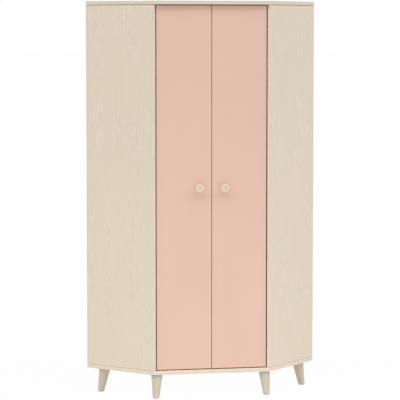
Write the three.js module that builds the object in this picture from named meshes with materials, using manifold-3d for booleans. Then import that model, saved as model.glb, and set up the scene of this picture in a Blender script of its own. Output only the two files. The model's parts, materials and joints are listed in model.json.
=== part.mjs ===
// Corner wardrobe with a five-sided plan, in millimetres.
// Two walls meet at the rear corner, two short sides stand square to the walls, and a pair of
// inset doors closes the diagonal front. +X runs along the front, +Y runs into the corner, +Z is up.
// Each door turns on four concealed hinges, which are made in full: cup, arm and mounting plate.
import * as THREE from 'three';
import { mergeVertices } from 'three/addons/utils/BufferGeometryUtils.js';
import Module from 'manifold-3d';

const wasm = await Module();
wasm.setup();

// Carcass
const OVERALL_HEIGHT = 2000;
const LEG_ROOM = 120;
const WALL_LENGTH = 845;
const SIDE_DEPTH = 420;
const BOARD = 19;
const BOARD_OVERHANG = 1;
const BACK_BOARD = 5;
const CORNER_STRIP = 55;
const SEAT_GAP = 0.3;

// Hat shelf, its battens and the rail that hangs from it
const SHELF_HEADROOM = 300;
const SHELF_SETBACK = 72;
const SHELF_GAP = 1;
const BATTEN_THICKNESS = 18;
const BATTEN_HEIGHT = 32;
const BATTEN_END_GAP = 24;
const RAIL_SETBACK = 300;
const RAIL_LENGTH = 800;
const RAIL_RADIUS = 12.5;
const RAIL_WALL = 1.5;
const RAIL_DROP = 58;
const RAIL_END_OVERHANG = 24;
const BRACKET_WIDTH = 18;
const BRACKET_WALL = 3;
const BRACKET_FOOT = 60;
const BRACKET_STEM = 9;

// Doors and knobs
const DOOR_THICKNESS = 19;
const DOOR_SIDE_GAP = 4.5;
const DOOR_END_GAP = 4.5;
const MEETING_GAP = 3;
const KNOB_RADIUS = 21.5;
const KNOB_PROJECTION = 23;
const KNOB_INSET = 63;
const KNOB_BORE_DEPTH = 13;
const SCREW_RADIUS = 2;
const SCREW_HEAD_RADIUS = 4.6;
const SCREW_HEAD_HEIGHT = 2.6;
const SCREW_END_GAP = 2;

// Hinges
const HINGES_PER_DOOR = 4;
const HINGE_END_INSET = 105;
const CUP_RADIUS = 17.5;
const CUP_DEPTH = 12;
const CUP_WALL = 1.2;
const CUP_INSET = 23.5;
const FLANGE_THICKNESS = 1.2;
const FLANGE_LENGTH = 62;
const FLANGE_WIDTH = 20;
const FLANGE_HOLE_RADIUS = 2.2;
const FLANGE_HOLE_SPACING = 48;
const PIN_RADIUS = 1.5;
const PIN_PROUD = 3.8;
const KNUCKLE_WALL = 1.4;
const EAR_RADIUS = 4.2;
const EAR_THICKNESS = 2;
const EAR_GAP = 0.6;
const ARM_THICKNESS = 2.5;
const ARM_WIDTH = 14;
const ARM_BEND_RADIUS = 4;
const ARM_SIDE_WALL = 1.2;
const ARM_BASE_LENGTH = 46;
const ARM_SLOT_LENGTH = 12;
const ARM_SLOT_WIDTH = 5.4;
const SWEEP_CLEARANCE = 1.2;
const DOOR_SWING_DEGREES = 95;
const PLATE_THICKNESS = 2.4;
const PLATE_WING_LENGTH = 54;
const PLATE_WING_WIDTH = 15;
const PLATE_HOLE_RADIUS = 2.6;
const PLATE_HOLE_SPACING = 32;
const RIDGE_HEIGHT = 8;

// Legs, with their mounting discs and glides
const LEG_TOP_RADIUS = 28.5;
const LEG_FOOT_RADIUS = 17;
const LEG_FOOT_ROUNDING = 2;
const LEG_SPLAY = 20;
const LEG_SIDE_INSET = 40;
const LEG_FRONT_INSET = 34;
const LEG_WALL_INSET = 83;
const LEG_DISC_RADIUS = 31;
const LEG_DISC_THICKNESS = 2.5;
const LEG_STUD_RADIUS = 5;
const LEG_STUD_CLEARANCE = 1;
const DISC_HOLE_RADIUS = 2.3;
const DISC_HOLE_INSET = 7;
const DISC_HOLES = 4;
const GLIDE_RADIUS = 14.5;
const GLIDE_THICKNESS = 4;

// Working values for cuts and for merging the corners of triangles
const OVERRUN = 2;
const MERGE_DISTANCE = 0.0001;
const ROUND_STEPS = 20;
const FINE_ROUND_STEPS = 24;
const SMALL_ROUND_STEPS = 8;
const BEND_STEPS = 3;

// Colours, roughness and metalness of the finishes
const MATERIALS = {
  paleWood: new THREE.MeshStandardMaterial({ color: 0xdaccb9, roughness: 0.55, metalness: 0 }),
  blushFront: new THREE.MeshStandardMaterial({ color: 0xe5c0ad, roughness: 0.5, metalness: 0 }),
  greyedWood: new THREE.MeshStandardMaterial({ color: 0xc6b9a4, roughness: 0.55, metalness: 0 }),
  bareSpruce: new THREE.MeshStandardMaterial({ color: 0xdcc6a2, roughness: 0.7, metalness: 0 }),
  hardboard: new THREE.MeshStandardMaterial({ color: 0xa98a64, roughness: 0.8, metalness: 0 }),
  nickel: new THREE.MeshStandardMaterial({ color: 0xb9b8b4, roughness: 0.3, metalness: 1 }),
  railMetal: new THREE.MeshStandardMaterial({ color: 0xc9c9c7, roughness: 0.25, metalness: 1 }),
  zincSteel: new THREE.MeshStandardMaterial({ color: 0xa9aaa8, roughness: 0.4, metalness: 1 }),
  felt: new THREE.MeshStandardMaterial({ color: 0x8a8078, roughness: 0.95, metalness: 0 }),
};

// Plan sizes that follow from the carcass
const SLANT = Math.SQRT1_2;
const HALF_FRONT = (WALL_LENGTH - SIDE_DEPTH) * SLANT;
const HALF_WIDTH = WALL_LENGTH * SLANT;
const SIDE_RUN = SIDE_DEPTH * SLANT;
const PLAN_DEPTH = (WALL_LENGTH + SIDE_DEPTH) * SLANT;
const PANEL_BOTTOM = LEG_ROOM + BOARD + SEAT_GAP;
const PANEL_HEIGHT = OVERALL_HEIGHT - LEG_ROOM - 2 * (BOARD + SEAT_GAP);

// The sides stand a little inside the boards' edges, and the doors' faces meet their inner front corners
const INNER_FACE = BOARD_OVERHANG + BOARD;
const DOOR_RECESS = INNER_FACE * SLANT;

// A point of the right half of the plan, by its way along the side from the front vertex and its way inwards
function fromSide(along, inward) {
  return [HALF_FRONT + (along - inward) * SLANT, (along + inward) * SLANT];
}

// A point of the right half of the plan, by its way along the wall from the rear corner and its way inwards
function fromWall(along, inward) {
  return [(along - inward) * SLANT, PLAN_DEPTH - (along + inward) * SLANT];
}

function mirroredPlan(outline) {
  return outline.map(([x, y]) => [-x, y]);
}

function shapeOf(outline) {
  return new THREE.Shape(outline.map(([x, y]) => new THREE.Vector2(x, y)));
}

function circlePoints(radius, x, y, steps) {
  return Array.from({ length: steps }, (_, i) => {
    const angle = 2 * Math.PI * i / steps;
    return new THREE.Vector2(x + radius * Math.cos(angle), y + radius * Math.sin(angle));
  });
}

// A round plate's shape, with round holes given as [radius, x, y, sides]
function roundShape(radius, holes) {
  const shape = new THREE.Shape(circlePoints(radius, 0, 0, FINE_ROUND_STEPS));
  for (const [holeRadius, x, y, steps] of holes) {
    shape.holes.push(new THREE.Path(circlePoints(holeRadius, x, y, steps)));
  }
  return shape;
}

// An outline in plan, or a ready shape, pulled straight up
function prism(outline, bottom, height) {
  const shape = Array.isArray(outline) ? shapeOf(outline) : outline;
  const curveSegments = SMALL_ROUND_STEPS / 2;
  const geometry = new THREE.ExtrudeGeometry(shape, { depth: height, bevelEnabled: false, curveSegments });
  return geometry.translate(0, 0, bottom);
}

function box(xMin, xMax, yMin, yMax, zMin, zMax) {
  const geometry = new THREE.BoxGeometry(xMax - xMin, yMax - yMin, zMax - zMin);
  return geometry.translate((xMin + xMax) / 2, (yMin + yMax) / 2, (zMin + zMax) / 2);
}

// A round bar along Y or Z between two places on that axis
function barAlongY(radius, yMin, yMax, x, z, steps = ROUND_STEPS) {
  return new THREE.CylinderGeometry(radius, radius, yMax - yMin, steps).translate(x, (yMin + yMax) / 2, z);
}

function barAlongZ(radius, zMin, zMax, x, y, steps = ROUND_STEPS) {
  const geometry = new THREE.CylinderGeometry(radius, radius, zMax - zMin, steps);
  return geometry.rotateX(Math.PI / 2).translate(x, y, (zMin + zMax) / 2);
}

// Joins and cuts
function solidOf(geometry) {
  const bare = geometry.clone();
  bare.deleteAttribute('normal');
  bare.deleteAttribute('uv');
  const merged = mergeVertices(bare, MERGE_DISTANCE);
  const vertProperties = new Float32Array(merged.attributes.position.array);
  const triVerts = new Uint32Array(merged.index.array);
  return new wasm.Manifold(new wasm.Mesh({ numProp: 3, vertProperties, triVerts }));
}

function geometryOf(solid) {
  const mesh = solid.getMesh();
  const geometry = new THREE.BufferGeometry();
  geometry.setAttribute('position', new THREE.BufferAttribute(new Float32Array(mesh.vertProperties), 3));
  geometry.setIndex(new THREE.BufferAttribute(new Uint32Array(mesh.triVerts), 1));
  geometry.computeVertexNormals();
  return geometry;
}

function joined(first, ...others) {
  return others.reduce((solid, other) => solid.add(solidOf(other)), solidOf(first));
}

function cut(solid, ...tools) {
  return tools.reduce((rest, tool) => rest.subtract(solidOf(tool)), solid);
}

// The same shape for the other side of the wardrobe, with its faces turned outwards again
function mirroredGeometry(geometry) {
  const mirrored = geometry.index ? geometry.toNonIndexed() : geometry.clone();
  mirrored.scale(-1, 1, 1);
  const position = mirrored.attributes.position;
  const corner = new THREE.Vector3();
  const next = new THREE.Vector3();
  for (let i = 0; i < position.count; i += 3) {
    corner.fromBufferAttribute(position, i + 1);
    next.fromBufferAttribute(position, i + 2);
    position.setXYZ(i + 1, next.x, next.y, next.z);
    position.setXYZ(i + 2, corner.x, corner.y, corner.z);
  }
  mirrored.computeVertexNormals();
  return mirrored;
}

const wardrobe = new THREE.Group();

function addPiece(name, geometry, material, parent = wardrobe) {
  const mesh = new THREE.Mesh(geometry, material.clone());
  mesh.name = name;
  parent.add(mesh);
  return mesh;
}

const SIDES = [
  { side: 'left', plan: mirroredPlan, sign: -1 },
  { side: 'right', plan: (outline) => outline, sign: 1 },
];

// Carcass: two five-sided boards, two sides, two thin backs and the strip in the rear corner
function addCarcass() {
  const outline = [
    [-HALF_FRONT, 0],
    [HALF_FRONT, 0],
    [HALF_WIDTH, SIDE_RUN],
    [0, PLAN_DEPTH],
    [-HALF_WIDTH, SIDE_RUN],
  ];
  addPiece('top_board', prism(outline, OVERALL_HEIGHT - BOARD, BOARD), MATERIALS.paleWood);
  addPiece('bottom_board', prism(outline, LEG_ROOM, BOARD), MATERIALS.paleWood);
  const panelLength = SIDE_DEPTH - BACK_BOARD - SEAT_GAP;
  const sidePanel = [
    fromSide(0, BOARD_OVERHANG),
    fromSide(panelLength, BOARD_OVERHANG),
    fromSide(panelLength, INNER_FACE),
    fromSide(0, INNER_FACE),
  ];
  const mitre = SEAT_GAP * SLANT;
  const backEnd = WALL_LENGTH - BOARD_OVERHANG;
  const backPanel = [
    fromWall(mitre, 0),
    fromWall(backEnd, 0),
    fromWall(backEnd, BACK_BOARD),
    fromWall(BACK_BOARD + mitre, BACK_BOARD),
  ];
  for (const { side, plan } of SIDES) {
    const panel = prism(plan(sidePanel), PANEL_BOTTOM, PANEL_HEIGHT);
    const back = prism(plan(backPanel), PANEL_BOTTOM, PANEL_HEIGHT);
    addPiece(`${side}_side_panel`, panel, MATERIALS.paleWood);
    addPiece(`${side}_back_panel`, back, MATERIALS.hardboard);
  }
  const stripSeat = BACK_BOARD + SEAT_GAP;
  const stripEnd = fromWall(stripSeat + CORNER_STRIP, stripSeat);
  const strip = [fromWall(stripSeat, stripSeat), stripEnd, [-stripEnd[0], stripEnd[1]]];
  addPiece('rear_corner_strip', prism(strip, PANEL_BOTTOM, PANEL_HEIGHT), MATERIALS.bareSpruce);
  return stripEnd[1];
}

// Hat shelf on three battens
const SHELF_TOP = OVERALL_HEIGHT - BOARD - SHELF_HEADROOM;
const SHELF_UNDERSIDE = SHELF_TOP - BOARD;

function addShelf(stripFront) {
  const sideSeat = INNER_FACE + SHELF_GAP;
  const wallSeat = BACK_BOARD + SHELF_GAP;
  const rearEdge = stripFront - SHELF_GAP;
  const frontAlong = SHELF_SETBACK / SLANT - sideSeat;
  const rearAlong = (PLAN_DEPTH - rearEdge) / SLANT - wallSeat;
  const rightHalf = [
    fromSide(frontAlong, sideSeat),
    fromSide(SIDE_DEPTH - wallSeat, sideSeat),
    fromWall(rearAlong, wallSeat),
  ];
  const outline = [...rightHalf, ...mirroredPlan(rightHalf).reverse()];
  addPiece('hat_shelf', prism(outline, SHELF_UNDERSIDE, BOARD), MATERIALS.paleWood);
  const battenBottom = SHELF_UNDERSIDE - SEAT_GAP - BATTEN_HEIGHT;
  const battenStart = frontAlong + BATTEN_END_GAP;
  const battenEnd = SIDE_DEPTH - BACK_BOARD - BATTEN_END_GAP;
  const inner = INNER_FACE + SEAT_GAP;
  const batten = [
    fromSide(battenStart, inner),
    fromSide(battenEnd, inner),
    fromSide(battenEnd, inner + BATTEN_THICKNESS),
    fromSide(battenStart, inner + BATTEN_THICKNESS),
  ];
  for (const { side, plan } of SIDES) {
    const geometry = prism(plan(batten), battenBottom, BATTEN_HEIGHT);
    addPiece(`${side}_shelf_batten`, geometry, MATERIALS.bareSpruce);
  }
  // The rear batten is cut to fit between the two backs, against the face of the corner strip
  const battenBack = stripFront - SEAT_GAP;
  const cornerWay = (y) => fromWall((PLAN_DEPTH - y) / SLANT - BACK_BOARD - SEAT_GAP, BACK_BOARD + SEAT_GAP);
  const rearHalf = [cornerWay(battenBack - BATTEN_THICKNESS), cornerWay(battenBack)];
  const rearOutline = [...rearHalf, ...mirroredPlan(rearHalf).reverse()];
  const rearBatten = prism(rearOutline, battenBottom, BATTEN_HEIGHT);
  addPiece('rear_shelf_batten', rearBatten, MATERIALS.bareSpruce);
}

// Hanging rail: a tube along X in two brackets under the shelf
function addRail() {
  const axisZ = SHELF_UNDERSIDE - SEAT_GAP - RAIL_DROP;
  const ring = roundShape(RAIL_RADIUS, [[RAIL_RADIUS - RAIL_WALL, 0, 0, FINE_ROUND_STEPS]]);
  const tube = prism(ring, -RAIL_LENGTH / 2, RAIL_LENGTH);
  tube.rotateX(Math.PI / 2).rotateZ(Math.PI / 2).translate(0, RAIL_SETBACK, axisZ);
  addPiece('hanging_rail', tube, MATERIALS.railMetal);

  // The bracket's outline lies in the YZ plane: foot under the shelf, stem, and the eye round the rail
  const eye = RAIL_RADIUS + SEAT_GAP;
  const bracket = cut(
    joined(
      box(-BRACKET_FOOT / 2, BRACKET_FOOT / 2, RAIL_DROP - BRACKET_WALL, RAIL_DROP, 0, BRACKET_WIDTH),
      box(-BRACKET_STEM / 2, BRACKET_STEM / 2, RAIL_RADIUS, RAIL_DROP - BRACKET_WALL / 2, 0, BRACKET_WIDTH),
      barAlongZ(eye + BRACKET_WALL, 0, BRACKET_WIDTH, 0, 0),
    ),
    barAlongZ(eye, -OVERRUN, BRACKET_WIDTH + OVERRUN, 0, 0),
  );
  for (const { side, sign } of SIDES) {
    const middle = sign * (RAIL_LENGTH / 2 - RAIL_END_OVERHANG);
    const geometry = geometryOf(bracket).translate(0, 0, -BRACKET_WIDTH / 2);
    geometry.rotateX(Math.PI / 2).rotateZ(Math.PI / 2).translate(middle, RAIL_SETBACK, axisZ);
    addPiece(`${side}_rail_bracket`, geometry, MATERIALS.zincSteel);
  }
}

// Legs: tapered, leaning outwards, each on a steel disc under the bottom board and on a glide
const DISC_TOP = LEG_ROOM - SEAT_GAP;
const LEG_TOP = DISC_TOP - LEG_DISC_THICKNESS - SEAT_GAP;
const LEG_BOTTOM = GLIDE_THICKNESS + SEAT_GAP;

function legGeometry(splayX, splayY) {
  const studTop = LEG_TOP - LEG_BOTTOM + LEG_DISC_THICKNESS;
  const profile = [
    [0, 0],
    [LEG_FOOT_RADIUS - LEG_FOOT_ROUNDING, 0],
    [LEG_FOOT_RADIUS, LEG_FOOT_ROUNDING],
    [LEG_TOP_RADIUS, LEG_TOP - LEG_BOTTOM],
    [LEG_STUD_RADIUS, LEG_TOP - LEG_BOTTOM],
    [LEG_STUD_RADIUS, studTop],
    [0, studTop],
  ];
  const points = profile.map(([radius, height]) => new THREE.Vector2(radius, height));
  const geometry = new THREE.LatheGeometry(points, FINE_ROUND_STEPS).rotateX(Math.PI / 2);
  const fall = LEG_TOP - LEG_BOTTOM;
  const lean = new THREE.Matrix4().makeShear(0, 0, 0, 0, -splayX / fall, -splayY / fall);
  return geometry.translate(0, 0, -fall).applyMatrix4(lean);
}

function addLegs() {
  const frontX = HALF_FRONT + LEG_FRONT_INSET - LEG_SIDE_INSET / SLANT;
  const rearX = (HALF_FRONT - LEG_SIDE_INSET / SLANT + PLAN_DEPTH - LEG_WALL_INSET / SLANT) / 2;
  const rearY = PLAN_DEPTH - LEG_WALL_INSET / SLANT - rearX;
  const frontLean = Math.PI / 8;
  const places = [{ name: 'rear_corner', x: 0, y: PLAN_DEPTH - LEG_WALL_INSET / SLANT, leanX: 0, leanY: 1 }];
  for (const { side, sign } of SIDES) {
    places.push({
      name: `front_${side}`,
      x: sign * frontX,
      y: LEG_FRONT_INSET,
      leanX: sign * Math.sin(frontLean),
      leanY: -Math.cos(frontLean),
    });
    places.push({ name: `rear_${side}`, x: sign * rearX, y: rearY, leanX: sign, leanY: 0 });
  }
  const reach = LEG_DISC_RADIUS - DISC_HOLE_INSET;
  const discHoles = [[LEG_STUD_RADIUS + LEG_STUD_CLEARANCE, 0, 0, SMALL_ROUND_STEPS]];
  for (let i = 0; i < DISC_HOLES; i += 1) {
    const angle = (i + 1 / 2) * 2 * Math.PI / DISC_HOLES;
    discHoles.push([DISC_HOLE_RADIUS, reach * Math.cos(angle), reach * Math.sin(angle), SMALL_ROUND_STEPS]);
  }
  const disc = roundShape(LEG_DISC_RADIUS, discHoles);
  for (const { name, x, y, leanX, leanY } of places) {
    const plate = prism(disc, DISC_TOP - LEG_DISC_THICKNESS, LEG_DISC_THICKNESS);
    addPiece(`${name}_leg_disc`, plate.translate(x, y, 0), MATERIALS.zincSteel);
    const splayX = leanX * LEG_SPLAY;
    const splayY = leanY * LEG_SPLAY;
    const leg = legGeometry(splayX, splayY).translate(x, y, LEG_TOP);
    addPiece(`${name}_leg`, leg, MATERIALS.greyedWood);
    const glide = barAlongZ(GLIDE_RADIUS, 0, GLIDE_THICKNESS, x + splayX, y + splayY);
    addPiece(`${name}_glide`, glide, MATERIALS.felt);
  }
}

// Doors. In door places x runs from the door's outer edge to its meeting edge, y from its face into
// the wardrobe and z up from its bottom edge, for the left door; the right one is its mirror image.
const OUTER_EDGE = HALF_FRONT - DOOR_RECESS - DOOR_SIDE_GAP;
const DOOR_WIDTH = OUTER_EDGE - MEETING_GAP / 2;
const DOOR_HEIGHT = OVERALL_HEIGHT - LEG_ROOM - 2 * (BOARD + DOOR_END_GAP);
const KNOB_X = DOOR_WIDTH - KNOB_INSET;
const PIVOT_X = CUP_INSET;
const PIVOT_Y = DOOR_THICKNESS + PIN_PROUD;
const KNUCKLE_RADIUS = PIN_RADIUS + SEAT_GAP + KNUCKLE_WALL;
const CUP_BOTTOM = DOOR_THICKNESS - CUP_DEPTH;
const FLANGE_BACK = DOOR_THICKNESS + SEAT_GAP;
const FLANGE_FRONT = FLANGE_BACK + FLANGE_THICKNESS;

function hingeHeights() {
  const step = (DOOR_HEIGHT - 2 * HINGE_END_INSET) / (HINGES_PER_DOOR - 1);
  return Array.from({ length: HINGES_PER_DOOR }, (_, i) => HINGE_END_INSET + i * step);
}

function doorGeometry() {
  let door = solidOf(box(0, DOOR_WIDTH, 0, DOOR_THICKNESS, 0, DOOR_HEIGHT));
  const recessBottom = CUP_BOTTOM - SEAT_GAP;
  for (const z of hingeHeights()) {
    const recess = barAlongY(CUP_RADIUS + SEAT_GAP, recessBottom, DOOR_THICKNESS + OVERRUN, CUP_INSET, z);
    door = cut(door, recess);
  }
  const screwHole = SCREW_RADIUS + SEAT_GAP;
  const z = DOOR_HEIGHT / 2;
  const through = barAlongY(screwHole, -OVERRUN, DOOR_THICKNESS + OVERRUN, KNOB_X, z, SMALL_ROUND_STEPS);
  return geometryOf(cut(door, through));
}

// The turned knob: radius and height of its profile as shares of its radius and projection
const KNOB_PROFILE_SHARES = [
  [0.5, 0],
  [0.52, 0.06],
  [0.44, 0.2],
  [0.42, 0.34],
  [0.52, 0.48],
  [0.76, 0.6],
  [0.94, 0.7],
  [1, 0.81],
  [0.975, 0.92],
  [0.88, 0.99],
  [0.8, 1],
  [0.72, 0.97],
  [0.4, 0.925],
  [0, 0.91],
];

function latheTowardsFront(profile, steps) {
  const points = profile.map(([radius, height]) => new THREE.Vector2(radius, height));
  return new THREE.LatheGeometry(points, steps).rotateX(Math.PI);
}

function knobGeometry() {
  const bore = SCREW_RADIUS + SEAT_GAP;
  const outside = KNOB_PROFILE_SHARES.map(([radius, height]) => [
    radius * KNOB_RADIUS,
    height * KNOB_PROJECTION,
  ]);
  const profile = [[0, KNOB_BORE_DEPTH], [bore, KNOB_BORE_DEPTH], [bore, 0], ...outside];
  return latheTowardsFront(profile, FINE_ROUND_STEPS).translate(KNOB_X, -SEAT_GAP, DOOR_HEIGHT / 2);
}

function knobScrewGeometry() {
  const headBack = DOOR_THICKNESS + SEAT_GAP;
  const shankEnd = headBack + KNOB_BORE_DEPTH - SCREW_END_GAP;
  const profile = [
    [0, -SCREW_HEAD_HEIGHT],
    [SCREW_HEAD_RADIUS * SLANT, -SCREW_HEAD_HEIGHT],
    [SCREW_HEAD_RADIUS, -SCREW_HEAD_HEIGHT / 2],
    [SCREW_HEAD_RADIUS, 0],
    [SCREW_RADIUS, 0],
    [SCREW_RADIUS, shankEnd],
    [0, shankEnd],
  ];
  return latheTowardsFront(profile, SMALL_ROUND_STEPS).translate(KNOB_X, headBack, DOOR_HEIGHT / 2);
}

// Hinge cup, in the door's places with z = 0 at its middle: a pressed cup with a screw flange,
// and two ears from its floor that carry the pin behind the door
function hingeCupGeometry() {
  const bore = CUP_RADIUS - CUP_WALL;
  const floor = CUP_BOTTOM + CUP_WALL;
  const halfWing = (FLANGE_LENGTH - FLANGE_WIDTH) / 2;
  const cup = joined(
    barAlongY(CUP_RADIUS, CUP_BOTTOM, FLANGE_FRONT, PIVOT_X, 0),
    box(
      PIVOT_X - FLANGE_WIDTH / 2,
      PIVOT_X + FLANGE_WIDTH / 2,
      FLANGE_BACK,
      FLANGE_FRONT,
      -halfWing,
      halfWing,
    ),
    barAlongY(FLANGE_WIDTH / 2, FLANGE_BACK, FLANGE_FRONT, PIVOT_X, halfWing, SMALL_ROUND_STEPS),
    barAlongY(FLANGE_WIDTH / 2, FLANGE_BACK, FLANGE_FRONT, PIVOT_X, -halfWing, SMALL_ROUND_STEPS),
    barAlongY(CUP_RADIUS + CUP_WALL, FLANGE_BACK, FLANGE_FRONT, PIVOT_X, 0),
  );
  const holeFrom = FLANGE_BACK - OVERRUN;
  const holeTo = FLANGE_FRONT + OVERRUN;
  const hole = FLANGE_HOLE_SPACING / 2;
  const open = cut(
    cup,
    barAlongY(bore, floor, holeTo, PIVOT_X, 0),
    barAlongY(FLANGE_HOLE_RADIUS, holeFrom, holeTo, PIVOT_X, hole, SMALL_ROUND_STEPS),
    barAlongY(FLANGE_HOLE_RADIUS, holeFrom, holeTo, PIVOT_X, -hole, SMALL_ROUND_STEPS),
  );
  const ear = new THREE.Shape();
  ear.moveTo(PIVOT_X - EAR_RADIUS, CUP_BOTTOM + CUP_WALL / 2);
  ear.lineTo(PIVOT_X + EAR_RADIUS, CUP_BOTTOM + CUP_WALL / 2);
  ear.lineTo(PIVOT_X + EAR_RADIUS, PIVOT_Y);
  ear.absarc(PIVOT_X, PIVOT_Y, EAR_RADIUS, 0, Math.PI, false);
  const inner = ARM_WIDTH / 2 + EAR_GAP;
  const outer = inner + EAR_THICKNESS;
  const pinHalf = outer - EAR_THICKNESS / 2;
  const pin = barAlongZ(PIN_RADIUS, -pinHalf, pinHalf, PIVOT_X, PIVOT_Y, SMALL_ROUND_STEPS);
  const ears = [prism(ear, inner, EAR_THICKNESS), prism(ear, -outer, EAR_THICKNESS)];
  return geometryOf([...ears, pin].reduce((solid, piece) => solid.add(solidOf(piece)), open));
}

// A point behind the inner face of the side panel: its way back along that face from the panel's front
// edge, and its way off that face, turned into door places
function offPanel(back, off) {
  return [-DOOR_SIDE_GAP + (off - back) * SLANT, (off + back) * SLANT];
}

// A strip of even thickness that follows a bent middle line, with round bends
function stripShape(corners, thickness, bendRadius) {
  const middle = [];
  corners.forEach((corner, i) => {
    if (i === 0 || i === corners.length - 1) {
      middle.push(corner);
      return;
    }
    const towardsLast = corners[i - 1].clone().sub(corner).normalize();
    const towardsNext = corners[i + 1].clone().sub(corner).normalize();
    const opening = towardsLast.angleTo(towardsNext) / 2;
    const setback = bendRadius / Math.tan(opening);
    const from = corner.clone().addScaledVector(towardsLast, setback);
    const to = corner.clone().addScaledVector(towardsNext, setback);
    const bend = new THREE.QuadraticBezierCurve(from, corner, to);
    middle.push(...bend.getPoints(BEND_STEPS));
  });
  const sides = [[], []];
  middle.forEach((point, i) => {
    const before = middle[Math.max(i - 1, 0)];
    const after = middle[Math.min(i + 1, middle.length - 1)];
    const last = point.clone().sub(before).normalize();
    const next = after.clone().sub(point).normalize();
    const along = last.add(next).normalize();
    const across = new THREE.Vector2(-along.y, along.x);
    const widening = 1 / Math.max(Math.sqrt((1 + Math.cos(turnAt(before, point, after))) / 2), SLANT);
    sides[0].push(point.clone().addScaledVector(across, thickness / 2 * widening));
    sides[1].push(point.clone().addScaledVector(across, -thickness / 2 * widening));
  });
  return new THREE.Shape([...sides[0], ...sides[1].reverse()]);
}

function turnAt(before, point, after) {
  const last = point.clone().sub(before);
  const next = after.clone().sub(point);
  return last.lengthSq() * next.lengthSq() > 0 ? last.angleTo(next) : 0;
}

// Where the hinge arm stands on its plate: just behind everything that the door's outer edge sweeps
const SWING = DOOR_SWING_DEGREES * Math.PI / 180;
const SWEPT_RADIUS = Math.hypot(PIVOT_X, PIVOT_Y);
const OPEN_EDGE_Y = PIVOT_X * Math.sin(SWING) - PIVOT_Y * Math.cos(SWING);
const ARM_RISE = OPEN_EDGE_Y + SWEEP_CLEARANCE + ARM_THICKNESS / 2;
const ARM_REACH = (SWEPT_RADIUS + SWEEP_CLEARANCE + ARM_THICKNESS / 2) / SLANT - ARM_RISE;
const ARM_BACK = (PIVOT_Y + ARM_RISE - (PIVOT_X - ARM_REACH + DOOR_SIDE_GAP)) * SLANT;
const PLATE_TOP = SEAT_GAP + PLATE_THICKNESS + RIDGE_HEIGHT;
const ARM_SEAT = PLATE_TOP + SEAT_GAP + ARM_THICKNESS / 2;

// Hinge arm, in door places: an eye round the pin, a neck bent round the sweep of the open door's
// edge, and a channel over the ridge of the mounting plate
function hingeArmGeometry() {
  const tangent = PIVOT_X + KNUCKLE_RADIUS - ARM_THICKNESS / 2;
  const corners = [
    new THREE.Vector2(tangent, PIVOT_Y),
    new THREE.Vector2(tangent, PIVOT_Y + ARM_RISE),
    new THREE.Vector2(PIVOT_X - ARM_REACH, PIVOT_Y + ARM_RISE),
    new THREE.Vector2(...offPanel(ARM_BACK, ARM_SEAT)),
    new THREE.Vector2(...offPanel(ARM_BACK + ARM_BASE_LENGTH, ARM_SEAT)),
  ];
  const half = ARM_WIDTH / 2;
  const wallFrom = ARM_BACK + ARM_BEND_RADIUS;
  const wallTo = ARM_BACK + ARM_BASE_LENGTH;
  const wallOutline = [
    offPanel(wallFrom, PLATE_THICKNESS + 2 * SEAT_GAP),
    offPanel(wallTo, PLATE_THICKNESS + 2 * SEAT_GAP),
    offPanel(wallTo, ARM_SEAT),
    offPanel(wallFrom, ARM_SEAT),
  ];
  const slotMiddle = wallFrom + (wallTo - wallFrom) / 2;
  const slotOutline = [
    offPanel(slotMiddle - ARM_SLOT_LENGTH / 2, ARM_SEAT - ARM_THICKNESS),
    offPanel(slotMiddle + ARM_SLOT_LENGTH / 2, ARM_SEAT - ARM_THICKNESS),
    offPanel(slotMiddle + ARM_SLOT_LENGTH / 2, ARM_SEAT + ARM_THICKNESS),
    offPanel(slotMiddle - ARM_SLOT_LENGTH / 2, ARM_SEAT + ARM_THICKNESS),
  ];
  const arm = joined(
    prism(stripShape(corners, ARM_THICKNESS, ARM_BEND_RADIUS), -half, ARM_WIDTH),
    barAlongZ(KNUCKLE_RADIUS, -half, half, PIVOT_X, PIVOT_Y, SMALL_ROUND_STEPS),
    prism(wallOutline, half - ARM_SIDE_WALL, ARM_SIDE_WALL),
    prism(wallOutline, -half, ARM_SIDE_WALL),
  );
  return geometryOf(cut(
    arm,
    barAlongZ(PIN_RADIUS + SEAT_GAP, -half - OVERRUN, half + OVERRUN, PIVOT_X, PIVOT_Y, SMALL_ROUND_STEPS),
    prism(slotOutline, -ARM_SLOT_WIDTH / 2, ARM_SLOT_WIDTH),
  ));
}

// Mounting plate on the side panel: two screw wings and the ridge that the arm sits on
function hingePlateGeometry() {
  const ridgeHalf = ARM_WIDTH / 2 - ARM_SIDE_WALL - SEAT_GAP;
  const start = ARM_BACK;
  const end = ARM_BACK + ARM_BASE_LENGTH + ARM_THICKNESS;
  const wingStart = (start + end - PLATE_WING_WIDTH) / 2;
  const wingEnd = wingStart + PLATE_WING_WIDTH;
  const back = SEAT_GAP;
  const face = SEAT_GAP + PLATE_THICKNESS;
  const slab = (from, to, low, high) => [
    offPanel(from, low),
    offPanel(to, low),
    offPanel(to, high),
    offPanel(from, high),
  ];
  const plate = joined(
    prism(slab(start, end, back, face), -ARM_WIDTH / 2, ARM_WIDTH),
    prism(slab(wingStart, wingEnd, back, face), -PLATE_WING_LENGTH / 2, PLATE_WING_LENGTH),
    prism(slab(start, end, back, PLATE_TOP), -ridgeHalf, 2 * ridgeHalf),
  );
  const [holeX, holeY] = offPanel((wingStart + wingEnd) / 2, (back + face) / 2);
  const drillLength = 2 * (PLATE_THICKNESS + OVERRUN);
  const drill = (z) => new THREE.CylinderGeometry(
    PLATE_HOLE_RADIUS,
    PLATE_HOLE_RADIUS,
    drillLength,
    SMALL_ROUND_STEPS,
  )
    .rotateZ(-Math.PI / 4)
    .translate(holeX, holeY, z);
  return geometryOf(cut(plate, drill(PLATE_HOLE_SPACING / 2), drill(-PLATE_HOLE_SPACING / 2)));
}

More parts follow.
